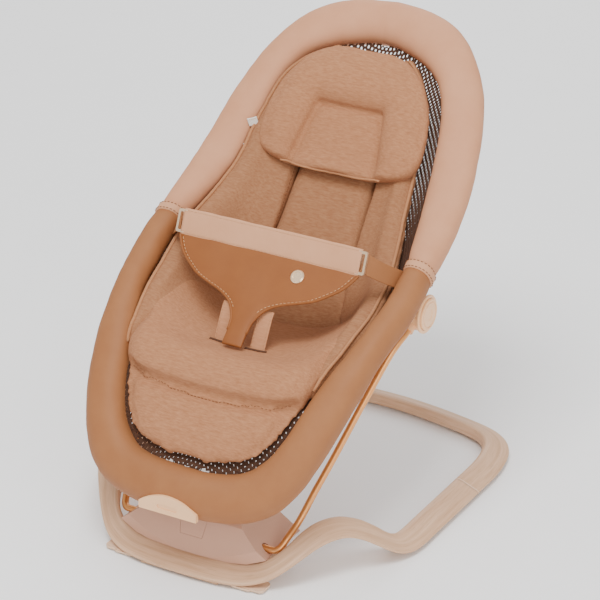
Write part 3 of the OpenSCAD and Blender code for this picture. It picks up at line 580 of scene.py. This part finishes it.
# Top and under grid of a pad on the bucket between two side lines, raised along the surface normal.
def bucketPad(s0, s1, left, right, n, m, low, high, roundS=5.0, roundW=4.0, lift=None):
    a = np.linspace(0, 1, n)[:, None] * np.ones((1, m))
    b = np.ones((n, 1)) * np.linspace(0, 1, m)[None]
    s = s0 + (s1 - s0) * a
    x0 = splineAt([(v,) for v in left], a[:, 0] * (len(left) - 1))[:, 0][:, None]
    x1 = splineAt([(v,) for v in right], a[:, 0] * (len(right) - 1))[:, 0][:, None]
    w = x0 + (x1 - x0) * b
    crown = np.sqrt(np.maximum(1 - np.abs(2 * a - 1) ** roundS, 0)
                    * np.maximum(1 - np.abs(2 * b - 1) ** roundW, 0))
    normal = bucketNormal(s, w)
    base = bucketAt(s, w)
    height = low + (high - low) * (0.25 + 0.75 * crown)
    if lift is not None:
        height = np.maximum(height + lift(s, w, a, b), low + 6)
    return base + normal * height[..., None] / 1000, base + normal * low / 1000


# ---- padded rim ----
# Draws the covers in towards their sewn joint.
def pinch(s):
    return -1.4 * np.exp(-((s - seamStation) / 0.35) ** 2)


def makeRims():
    piece = {"bandHalf": 0.16, "rows": 120}
    s = np.linspace(seamStation + piece["bandHalf"] * 0.8, topStation, piece["rows"])
    right = rimSections(s, pinch(s))
    upper = tubeObject("rim_upper", np.concatenate([right, mirrorRings(right)[1:]]), finish["upperSuede"])
    s = np.linspace(0, seamStation - piece["bandHalf"] * 0.8, piece["rows"])
    right = rimSections(s, pinch(s))
    lower = tubeObject("rim_lower", np.concatenate([mirrorRings(right), right[1:]]), finish["lowerSuede"])
    for obj, seed in ((upper, 3.0), (lower, 11.0)):
        ruffle(obj, 0.0011, 16, seed)
        ruffle(obj, 0.0005, 60, seed)
        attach(obj, "seat")
    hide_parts("upper_rim")
    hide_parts("lower_rim")
    for side, name in ((1, "right"), (-1, "left")):
        s = np.linspace(seamStation - 0.17, seamStation + 0.17, 9)
        grow = 0.5 + 0.7 * np.sqrt(np.maximum(1 - ((s - seamStation) / 0.172) ** 2, 0))
        rings = rimSections(s, grow)
        band = tubeObject("rim_band_" + name, rings * np.array([side, 1, 1]), finish["bandSuede"])
        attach(band, "seat")
        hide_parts("seam_band_" + name)
        rows = []
        for offset in (-0.13, 0.13):
            line = rimSections(np.array([seamStation + offset]), 1.3, 180)[0] * np.array([side, 1, 1])
            rows.append(stitchRow("rim_stitch_%s_%s" % (name, "low" if offset < 0 else "high"),
                                  np.concatenate([line, line[:1]]), finish["brownThread"]))
        for row in rows:
            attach(row, "seat")
    # long cover seam along the outer underside of each rim cover
    for name, low, high, thread in (("upper", 12.4, 26, "paleThread"), ("lower", 0, 11.6, "brownThread")):
        s = np.linspace(low, high, 160)
        ring = rimSections(s, 0.35, 44)[:, 8]
        whole = np.concatenate([ring, ring[::-1][1:] * np.array([-1, 1, 1])]) if name == "upper" \
            else np.concatenate([ring[::-1] * np.array([-1, 1, 1]), ring[1:]])
        row = stitchRow("rim_seam_" + name, whole, finish[thread], 0.004, 0.0025, 0.0005)
        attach(row, "seat")
    print("rims done")


# ---- mesh sling with open holes ----
def makeSling():
    piece = {"pitch": 0.0062, "hole": 0.0019, "first": 0.03, "last": 25.97, "rows": 260, "columns": 90}
    rows, columns, pitch = piece["rows"], piece["columns"], piece["pitch"]
    # row step and corner radius of a hexagon, as shares of the pitch
    rowShare, cornerShare = 0.866, 0.57735
    stations = np.linspace(piece["first"], piece["last"], rows)
    spine = bucketAt(stations, np.zeros(rows))
    length = np.concatenate([[0], np.cumsum(np.linalg.norm(np.diff(spine, axis=0), axis=1))])
    w = np.linspace(0, 1, columns)
    grid = bucketAt(stations[:, None] * np.ones((1, columns)), np.ones((rows, 1)) * w[None])
    widths = np.cumsum(np.linalg.norm(np.diff(grid, axis=1), axis=2), axis=1)
    across = np.concatenate([np.zeros((rows, 1)), widths], axis=1)

    def place(v, u):
        s = np.interp(v, length, stations)
        k = min(int((s - piece["first"]) / (piece["last"] - piece["first"]) * (rows - 1)), rows - 2)
        return s, math.copysign(np.interp(abs(u), across[k], w), u)

    for side, name in ((1, "right"), (-1, "left")):
        params, faces, known = [], [], {}

        def corner(v, u):
            key = (round(v * 1e5), round(u * 1e5))
            if key not in known:
                known[key] = len(params)
                params.append(place(v, u))
            return known[key]

        for i in range(int(length[-1] / (pitch * rowShare))):
            v = (i + 0.6) * pitch * rowShare
            s = np.interp(v, length, stations)
            hole = piece["hole"] * (0.55 + 0.45 * float(ease(5, 9, s)))
            k = min(int(np.interp(v, length, np.arange(rows))), rows - 1)
            reach = across[k][-1] - pitch * 0.5
            shift = 0.5 * (i % 2)
            for j in range(-int(reach / pitch) - 1, int(reach / pitch) + 2):
                u = (j + shift) * pitch
                if abs(u) > reach or (u < 0) != (side < 0):
                    continue
                outer, inner = [], []
                for q in range(6):
                    angle = math.radians(30 + 60 * q)
                    outer.append(corner(v + math.sin(angle) * pitch * cornerShare,
                                        u + math.cos(angle) * pitch * cornerShare))
                    params.append(place(v + math.sin(angle) * hole, u + math.cos(angle) * hole))
                    inner.append(len(params) - 1)
                for q in range(6):
                    faces.append((outer[q], outer[(q + 1) % 6], inner[(q + 1) % 6], inner[q]))
        params = np.array(params)
        verts = bucketAt(params[:, 0], params[:, 1], 1.0)
        sling = makeObject("sling_mesh_" + name, verts, faces, finish["spacerMesh"])
        solid = sling.modifiers.new("thickness", "SOLIDIFY")
        solid.thickness = 0.0012
        solid.offset = 0
        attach(sling, "seat")
        if side > 0:
            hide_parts("mesh_sling")


# ---- inlay ----
def finishPad(obj, nodeName):
    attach(obj, "seat")
    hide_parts(nodeName)


def makeInlay():
    first, last = 6.1, 23.4

    def roll(s, w, a, b):
        return 4 * np.exp(-((b - 0.8) / 0.16) ** 2) * np.sin(math.pi * a) ** 0.5

    # middle panel of the back
    edge = [0.66, 0.56, 0.48, 0.47, 0.47, 0.48, 0.50, 0.53, 0.57]
    tops, unders = bucketPad(10.6, last, [-v for v in edge], edge, 90, 30, 3.0, 24, 10, 9)
    back = padObject("inlay_back_panel", tops, unders, finish["inlayJersey"])
    swellPad(back, 0.005, 0.004)
    refine(back)
    finishPad(back, "inlay_back")
    # side wings with a roll along the rim
    inner = [0.86, 0.77, 0.60, 0.43, 0.405, 0.405, 0.415, 0.435, 0.46]
    edges = {"right": [0.97, 0.965, 0.95, 0.91, 0.87, 0.85, 0.84, 0.84, 0.84],
             "left": [0.995, 1.0, 1.0, 1.0, 1.0, 0.995, 0.975, 0.94, 0.90]}
    for side, name in ((1, "right"), (-1, "left")):
        outer, flip = edges[name], np.array([side, 1, 1])
        tops, unders = bucketPad(first, last, inner, outer, 110, 26, 3.0, 22, 9, 7, roll)
        wing = padObject("inlay_wing_pad_" + name, tops * flip, unders * flip, finish["inlayJersey"])
        swellPad(wing, 0.005, 0.004)
        refine(wing)
        finishPad(wing, "inlay_wing_" + name)
        # corded edge of the wing
        s = np.linspace(6.3, 23.0, 120)
        share = np.interp(s, np.linspace(first, last, len(outer)), outer) - 0.012
        path = layOn(wing, bucketAt(s, share) * flip + bucketNormal(s, share) * flip * 0.014, 0.0012)
        cord = tubeObject("piping_" + name, cordRings(path, 0.0023, 0.0023, 12), finish["pipingCloth"])
        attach(cord, "seat")
        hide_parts("inlay_piping_" + name)
        # stitched seam between wing and back
        s = np.linspace(11.8, 22.8, 120)
        share = np.interp(s, np.linspace(first, last, len(inner)), inner) + 0.04
        path = layOn(wing, (bucketAt(s, share) + bucketNormal(s, share) * 0.02) * flip, 0.0003)
        row = stitchRow("wing_stitch_" + name, path, finish["brownThread"])
        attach(row, "seat")
    print("back and wings done")


def makeSeatPad():
    edge = [0.56, 0.82, 0.92, 0.955, 0.97, 0.96, 0.95, 0.94, 0.92]
    seam = 5.55

    def roll(s, w, a, b):
        front = 10 * np.exp(-((s - 6.5) / 0.75) ** 2)
        flap = -12 * (1 - ease(5.0, 5.9, s))
        return front + flap

    tops, unders = bucketPad(1.15, 11.8, [-v for v in edge], edge, 90, 60, 3.0, 25, 12, 9, roll)
    pad = padObject("seat_pad", tops, unders, finish["pillowJersey"])
    swellPad(pad, 0.005, 0.005)
    refine(pad)
    line = np.linspace(-0.88, 0.88, 60)
    bend = seam - 0.45 * (1 - np.abs(line) ** 2)
    path = bucketAt(bend, line) + bucketNormal(bend, line) * 0.017
    path = layOn(pad, path, 0)
    sewLine(pad, path, 0.014, 0.0075)
    finishPad(pad, "seat_cushion")
    line = [p - np.array([0, 0.004, 0.002]) for p in layOn(pad, path, 0.0004)]
    row = stitchRow("seat_pad_stitch", line, finish["brownThread"])
    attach(row, "seat")
    # slits that the crotch straps pass through, drawn as dark strips of painted shade on the pad
    for side, name in ((1, "right"), (-1, "left")):
        spot = np.array([side * 0.027, -0.134, 0.262])
        line = [spot + np.array([x, 0, 0]) for x in np.linspace(-0.016, 0.016, 15)]
        path = layOn(pad, line, 0.0006)
        slit = tubeObject("strap_slit_" + name, cordRings(path, 0.0026, 0.0008, 8), finish["slitGapShade"])
        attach(slit, "seat")
    print("seat pad done")


# ---- pillow ----
# Point across x, up v and out h of the pillow's leaning plane, given in millimetres, in metres.
def inPlane(x, v, h):
    y = 140 + 0.615 * v - 0.788 * h
    z = 394 + 0.788 * v + 0.615 * h
    return np.stack([x, y, z], axis=-1) / 1000


def makePillow():
    # height up the plane and half width
    outline = [(-1, 66), (2, 78), (9, 103), (19, 117), (38, 124), (62, 124), (90, 120), (115, 112), (138, 99),
               (158, 82), (172, 60), (179, 34)]
    n, m = 70, 64
    rows = splineAt(outline, np.linspace(0, len(outline) - 1, n))
    v = rows[:, 0][:, None] * np.ones((1, m))
    u = np.ones((n, 1)) * np.linspace(-1, 1, m)[None]
    x = rows[:, 1][:, None] * u
    sides, crown = np.sqrt(np.maximum(1 - np.abs(u) ** 6, 0)), np.sqrt(np.maximum(1 - (v / 180) ** 8, 0))
    edge = sides * np.clip(0.8 + v / 26, 0, 1) * crown
    border = 27 + 2 * np.cos(u * math.pi)
    height = 30 + 4 * u ** 4 + border * (0.2 + 0.8 * edge)
    pillow = padObject("pillow", inPlane(x, v, height), inPlane(x, v, 27.5 + 4 * u ** 4),
                       finish["pillowJersey"])
    swellPad(pillow, 0.0045, 0.003, 3.0)
    refine(pillow)
    # the middle is sewn down and the border slopes to its seam
    spot = np.array([v.co for v in pillow.data.vertices]) * 1000
    px, py, pz = spot[:, 0], spot[:, 1] - 140, spot[:, 2] - 394
    pv, ph = 0.615 * py + 0.788 * pz, -0.788 * py + 0.615 * pz
    overX, overV = np.abs(px) - (64 - 0.18 * pv), pv - 93
    gap = np.where((overX > 0) | (overV > 0), np.hypot(np.maximum(overX, 0), np.maximum(overV, 0)),
                   np.maximum(overX, overV))
    fall = np.where(gap > 0, np.exp(-np.maximum(gap, 0) / 13), 1 - 0.22 * (1 - np.exp(np.minimum(gap, 0) / 9)))
    sink = 21 * fall * ease(38, 50, ph) * (0.55 + 0.45 * ease(0, 25, pv))
    spot -= sink[:, None] * np.array([0, -0.788, 0.615])
    pillow.data.vertices.foreach_set("co", (spot / 1000).ravel())
    pillow.data.update()
    finishPad(pillow, "seat_pillow")
    # seam round the sunken middle
    line = [inPlane(-64 + 0.18 * q, q, 45) for q in np.linspace(2, 86, 30)]
    line += [inPlane(q, 93, 42) for q in np.linspace(-44, 44, 24)]
    line += [inPlane(64 - 0.18 * q, q, 45) for q in np.linspace(86, 2, 30)]
    sewLine(pillow, layOn(pillow, line, 0), 0.006, 0.002)
    # piped lower lip
    lip = [inPlane(q, 0.5 + 0.5 * (q / 76) ** 2, 45) for q in np.linspace(-76, 76, 50)]
    cord = tubeObject("pillow_lip", cordRings(layOn(pillow, lip, 0.0006), 0.0016, 0.0016, 10), finish["pipingCloth"])
    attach(cord, "seat")
    print("pillow done")


# ---- belt ----
belt = {"foot": (-54, 363), "half": 134, "bandTilt": 67, "panelTilt": 44}


# Point across x, up v and out h of a plane that leans by tilt over the belt's foot, in metres.
def tilted(x, v, h, tilt):
    c, s = math.cos(math.radians(tilt)), math.sin(math.radians(tilt))
    return np.array([x, belt["foot"][0] + v * c - h * s, belt["foot"][1] + v * s + h * c]) / 1000


def makeBelt():
    half, bandTilt, panelTilt = belt["half"], belt["bandTilt"], belt["panelTilt"]
    # folded band along the top, slightly rounded
    lengths = np.linspace(-half, half, 90)
    rings = []
    for x in lengths:
        ring = []
        end = 1 - 0.03 * abs(x / half) ** 8
        for q in np.linspace(0, 2 * math.pi, 28, endpoint=False):
            c, s = math.cos(q), math.sin(q)
            v = 18 + 18 * end * math.copysign(abs(c) ** 0.35, c)
            h = 2 + 2.2 * math.copysign(abs(s) ** 0.6, s) * (1 - 0.2 * abs(c))
            ring.append(tilted(x, v, h, bandTilt))
        rings.append(ring)
    band = tubeObject("belt_band_cover", np.array(rings), finish["bandSuede"])
    ruffle(band, 0.0005, 40, 2.0)
    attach(band, "seat")
    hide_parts("belt_band")
    # crotch panel cut to its curved outline: share of the half width, height
    sides = [(1, 0), (0.98, -6), (0.9, -22), (0.78, -36), (0.66, -47), (0.53, -54), (0.38, -61), (0.27, -68),
             (0.19, -77), (0.13, -90), (0.105, -104), (0.105, -132)]
    n, m = 80, 40
    line = splineAt(sides, np.linspace(0, len(sides) - 1, n))
    tops, unders = np.zeros((n, m, 3)), np.zeros((n, m, 3))
    for i in range(n):
        for j in range(m):
            u = 2 * j / (m - 1) - 1
            v = line[i][1]
            bulge = 1.6 * (1 - abs(u) ** 3)
            tops[i, j] = tilted(u * line[i][0] * half, v, 2.4 + bulge, panelTilt)
            unders[i, j] = tilted(u * line[i][0] * half, v, 0.4, panelTilt)
    panel = padObject("belt_crotch_panel", tops, unders, finish["beltLeather"])
    ruffle(panel, 0.0008, 24, 5.0)
    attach(panel, "seat")
    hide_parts("belt_panel")
    for side, name in ((1, "right"), (-1, "left")):
        path = [tilted(side * q[0] * half, q[1], 1.7, panelTilt)
                for q in splineAt(sides, np.linspace(0.15, 10.3, 90))]
        edge = tubeObject("belt_edge_" + name, cordRings(path, 0.0019, 0.0019, 12), finish["beltLeather"])
        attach(edge, "seat")
        if side > 0:
            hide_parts("belt_binding")
        inner = [tilted(side * max(q[0] * half - 4.6, 3), q[1] - 0.5, 4.3, panelTilt)
                 for q in splineAt(sides, np.linspace(0.4, 8.6, 90))]
        row = stitchRow("belt_edge_stitch_" + name, layOn(panel, inner, 0.0003), finish["paleThread"])
        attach(row, "seat")
    for name, v in (("low", 3.2), ("high", 33)):
        path = layOn(band, [tilted(x, v, 5, bandTilt) for x in np.linspace(-131, 131, 80)], 0.0002)
        row = stitchRow("belt_band_stitch_" + name, path, finish["paleThread"])
        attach(row, "seat")
    # straps from the panel's neck into the seat
    for side, name in ((1, "right"), (-1, "left")):
        spots = [(27, -104, 309), (27, -108.5, 304), (27, -114, 295), (27, -120, 284), (27, -126.5, 272),
                 (27, -133, 259.5)]
        path = splineAt(spots, np.linspace(0, 5, 26)) / 1000 * np.array([side, 1, 1])
        strap = tubeObject("crotch_strap_web_" + name, cordRings(path, 0.011, 0.0011, 20, (0, -1, 0.4), 0.5),
                           finish["strapWeb"])
        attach(strap, "seat")
        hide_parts("crotch_strap_" + name)
        for edge in (-1, 1):
            line = [p + np.array([edge * 0.0088, -0.0013, 0.0006]) for p in path[1:-2]]
            row = stitchRow("strap_stitch_%s_%s" % (name, "in" if edge * side < 0 else "out"), line,
                            finish["paleThread"], radius=0.0004)
            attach(row, "seat")
        # webbing from the slider to the rim
        a = np.linspace(0, 1, 30)
        mid = np.column_stack([138 + 34 * a, -47.5 + 42 * a - 3 * np.sin(math.pi * a), 380.5 - 34 * a]) / 1000
        mid *= np.array([side, 1, 1])
        up = np.column_stack([0.1 * a * side, 0.39 + 0.5 * a, 0.92 - 0.52 * a])
        t = unit(np.gradient(mid, axis=0))
        wide = unit(up - t * (up * t).sum(axis=1, keepdims=True))
        thin = np.cross(t, wide)
        angle = np.linspace(0, 2 * math.pi, 20, endpoint=False)
        c, s = np.cos(angle), np.sin(angle)
        c, s = np.sign(c) * np.abs(c) ** 0.4, np.sign(s) * np.abs(s) ** 0.4
        wide, thin = 0.0125 * c[None, :, None] * wide[:, None], 0.001 * s[None, :, None] * thin[:, None]
        web = tubeObject("side_strap_web_" + name, mid[:, None] + wide + thin, finish["lowerSuede"])
        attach(web, "seat")
        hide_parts("side_strap_" + name)
    print("belt done")


# ---- floor bow, wire and front cover ----
def closedProfile(points, count):
    p = np.asarray(points, float)
    p = np.concatenate([p, p[:1]])
    length = np.concatenate([[0], np.cumsum(np.linalg.norm(np.diff(p, axis=0), axis=1))])
    at = np.linspace(0, length[-1], count, endpoint=False)
    return np.column_stack([np.interp(at, length, p[:, k]) for k in range(2)])


def bowRings(stations, profile):
    s = np.asarray(stations, float)
    last = len(bow) - 1
    p = splineAt(bow, s)
    t = splineAt(bow, np.minimum(s + 0.25, last)) - splineAt(bow, np.maximum(s - 0.25, 0))
    t[(s <= 0) | (s >= last), 1:] = 0
    t = unit(t)
    side = unit(np.cross(np.array([[0.0, 0.0, 1.0]]), t))
    up = np.cross(t, side)
    # narrower where the wire passes
    waist = (1 - 0.33 * np.exp(-((s - 6.2) / 1.7) ** 2))[:, None, None]
    wide, high = waist * profile[None, :, 0, None] * side[:, None], profile[None, :, 1, None] * up[:, None]
    return (p[:, None] + wide + high) / 1000


def makeBow():
    profile = closedProfile(bowProfile, 64)
    soft = (np.roll(profile, 1, axis=0) + 2 * profile + np.roll(profile, -1, axis=0)) / 4
    last = len(bow) - 1
    right = bowRings(np.linspace(0, 20.98, 120), soft)
    front = tubeObject("floor_bow_front", np.concatenate([mirrorRings(right), right[1:]]), finish["beech"])
    right = bowRings(np.linspace(21.07, last, 90), soft)
    rear = tubeObject("floor_bow_rear", np.concatenate([right, mirrorRings(right)[1:]]), finish["beech"])
    for obj, node in ((front, "base_front_bow"), (rear, "base_rear_bow")):
        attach(obj, "base")
        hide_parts(node)
    print("bow done")


def makeWire():
    arm = splineAt(wireArm, np.linspace(0, len(wireArm) - 1, 130))
    arm = np.column_stack([arm[:, 0], arm[:, 1] - 234, arm[:, 2] + 42]) / 1000
    path = np.concatenate([arm[::-1] * np.array([-1, 1, 1]), arm[1:]])
    wire = tubeObject("sprung_wire", cordRings(path, 0.0047, 0.0047, 20, (0, 0.3, 1)), finish["goldCoat"])
    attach(wire, "frame")
    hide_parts("wire_frame")
    print("wire done")


# ---- labels ----
def makeLabels():
    count, thick = 14, 0.0007
    for name in ("upper", "lower"):
        low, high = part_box("tag_" + name)
        centre = np.array([(low[k] + high[k]) / 2 for k in range(3)])
        right, up = unit(np.array([0.86, 0.42, 0.28])), unit(np.array([-0.2, -0.25, 0.94]))
        up = unit(up - right * (up @ right))
        out = np.cross(right, up)
        tops, unders = np.zeros((count, count, 3)), np.zeros((count, count, 3))
        for i in range(count):
            for j in range(count):
                a, b = 2 * i / (count - 1) - 1, 2 * j / (count - 1) - 1
                spot = centre + right * a * 0.0068 + up * b * 0.006 - out * 0.0008 * a * a
                tops[i, j] = spot + out * thick
                unders[i, j] = spot - out * thick
        label = padObject("label_" + name, tops, unders, finish["labelCloth"])
        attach(label, "seat")
        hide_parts("tag_" + name)
        line = [centre + right * a * 0.0055 + up * 0.0045 + out * 0.002 for a in np.linspace(-1, 1, 12)]
        row = stitchRow("label_stitch_" + name, layOn(label, line, 0.0002), finish["paleThread"],
                        0.0016, 0.001, 0.0003)
        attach(row, "seat")
    print("labels done")


# ---- finishes on the CAD pieces that stay ----
def dressNodes():
    wear = {
        "creamPlastic": ["side_hub_left", "side_hub_right", "recline_button_left", "recline_button_right",
                         "front_tab"],
        "palePlastic": ["joint_ring_left", "joint_ring_right", "front_foot_left", "front_foot_right",
                        "axle_bushes"],
        "greyRubber": ["front_pads", "rear_pads"],
        "innerPlastic": ["hub_base", "fold_drum"],
        "sandPlastic": ["hub_cover", "fold_button"],
        "plainSteel": ["rail_spigots", "pivot_pin_left", "pivot_pin_right", "seat_bracket_left",
                       "seat_bracket_right", "seat_hoop", "hub_screws", "fold_spring", "recline_spring_left",
                       "recline_spring_right"],
        "champagneMetal": ["belt_stud", "slider_left", "slider_right"],
    }
    for name, parts in wear.items():
        for part in parts:
            for place in nodes[part].material_slots:
                place.link = "OBJECT"
                place.material = finish[name]
    print("CAD pieces dressed")


def makeStage():
    corners = [(-9, -9, 0), (9, -9, 0), (9, 9, 0), (-9, 9, 0)]
    floor = makeObject("floor", corners, [(0, 1, 2, 3)], finish["studioFloor"])
    world = bpy.data.worlds.new("studio")
    bpy.context.scene.world = world
    world.use_nodes = True
    world.node_tree.nodes["Background"].inputs[0].default_value = (1, 1, 1, 1)
    world.node_tree.nodes["Background"].inputs[1].default_value = 0.8
    makeLight("key", (0.2, -1.4, 3.6), 1.6, 120)
    makeLight("fill", (3.0, -2.4, 1.8), 2.4, 60)
    makeLight("rim", (-1.2, 3.0, 2.6), 2.4, 60)


makeCamera()
makeStage()
dressNodes()
makeBow()
makeWire()
makeRims()
makeSling()
makeInlay()
makeSeatPad()
makePillow()
makeBelt()
makeLabels()
